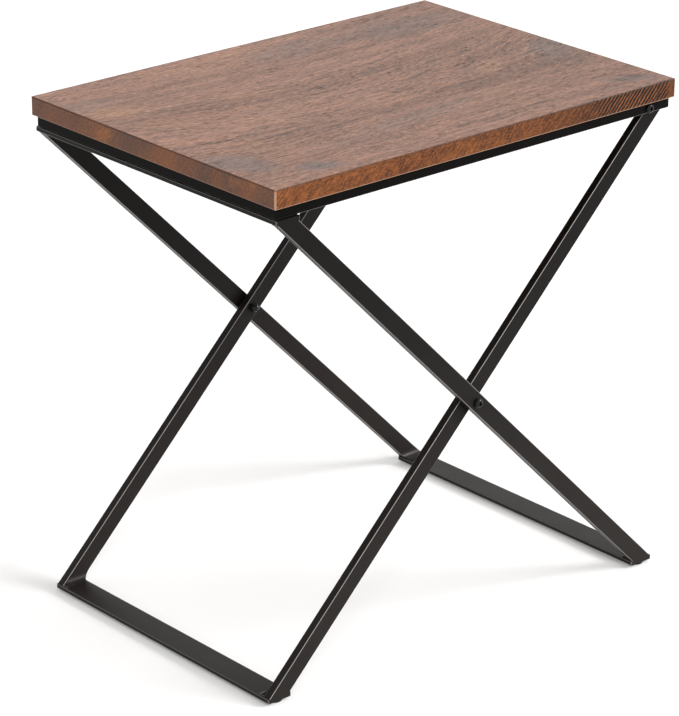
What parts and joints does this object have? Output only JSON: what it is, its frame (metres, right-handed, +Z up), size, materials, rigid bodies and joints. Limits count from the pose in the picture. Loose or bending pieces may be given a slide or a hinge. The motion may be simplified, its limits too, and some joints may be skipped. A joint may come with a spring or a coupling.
{
  "type": "folding tray table",
  "caption": "Small X-leg side table with a solid wood top on a black steel frame; the crossed legs fold flat and the hinged top swings down with them.",
  "frame": {"origin": "on the floor, below the middle of the top", "axes": "+X along the top towards the hinged end, +Y across the top, +Z up"},
  "size_m": [0.575, 0.4088, 0.583],
  "materials": {
    "board_wood": "satin lacquered hardwood, open pores, grain along X",
    "frame_steel": "satin black powder coat",
    "fastener_black": "black oxide, slightly glossier than the frame",
    "glide_rubber": "matte"
  },
  "bodies": {
    "inner_frame": {"inner_leg_front": "frame_steel", "inner_leg_back": "frame_steel", "inner_floor_rail": "frame_steel", "inner_leg_cap_front": "frame_steel", "inner_leg_cap_back": "frame_steel", "hinge_lug_front": "frame_steel", "hinge_lug_back": "frame_steel", "pivot_bush_front": "fastener_black", "pivot_bush_back": "fastener_black", "floor_glide_left_front": "glide_rubber", "floor_glide_left_back": "glide_rubber"},
    "outer_frame": {"outer_leg_front": "frame_steel", "outer_leg_back": "frame_steel", "outer_top_crossbar": "frame_steel", "outer_floor_rail": "frame_steel", "pivot_bolt_front": "fastener_black", "pivot_bolt_back": "fastener_black", "pivot_washer_front": "fastener_black", "pivot_washer_back": "fastener_black", "pivot_spacer_front": "fastener_black", "pivot_spacer_back": "fastener_black", "pivot_nut_front": "fastener_black", "pivot_nut_back": "fastener_black", "floor_glide_right_front": "glide_rubber", "floor_glide_right_back": "glide_rubber"},
    "tabletop": {"tabletop_board": "board_wood", "apron_front": "frame_steel", "apron_back": "frame_steel", "apron_left": "frame_steel", "apron_right": "frame_steel", "top_screws": "fastener_black", "hinge_bolt_front": "fastener_black", "hinge_bolt_back": "fastener_black", "hinge_spacer_front": "fastener_black", "hinge_spacer_back": "fastener_black", "hinge_nut_front": "fastener_black", "hinge_nut_back": "fastener_black"}
  },
  "joints": [
    {"name": "leg_pivot", "type": "hinge", "parent": "inner_frame", "child": "outer_frame", "pos_m": [0, 0, 0.276], "axis": [0, -1, 0], "range_deg": [0, 86]},
    {"name": "top_hinge", "type": "hinge", "parent": "inner_frame", "child": "tabletop", "pos_m": [0.253, 0, 0.5544], "axis": [0, -1, 0], "range_deg": [0, 43]}
  ],
  "couplings": [
    {"joint": "top_hinge", "follows": "leg_pivot", "ratio": 0.5}
  ]
}
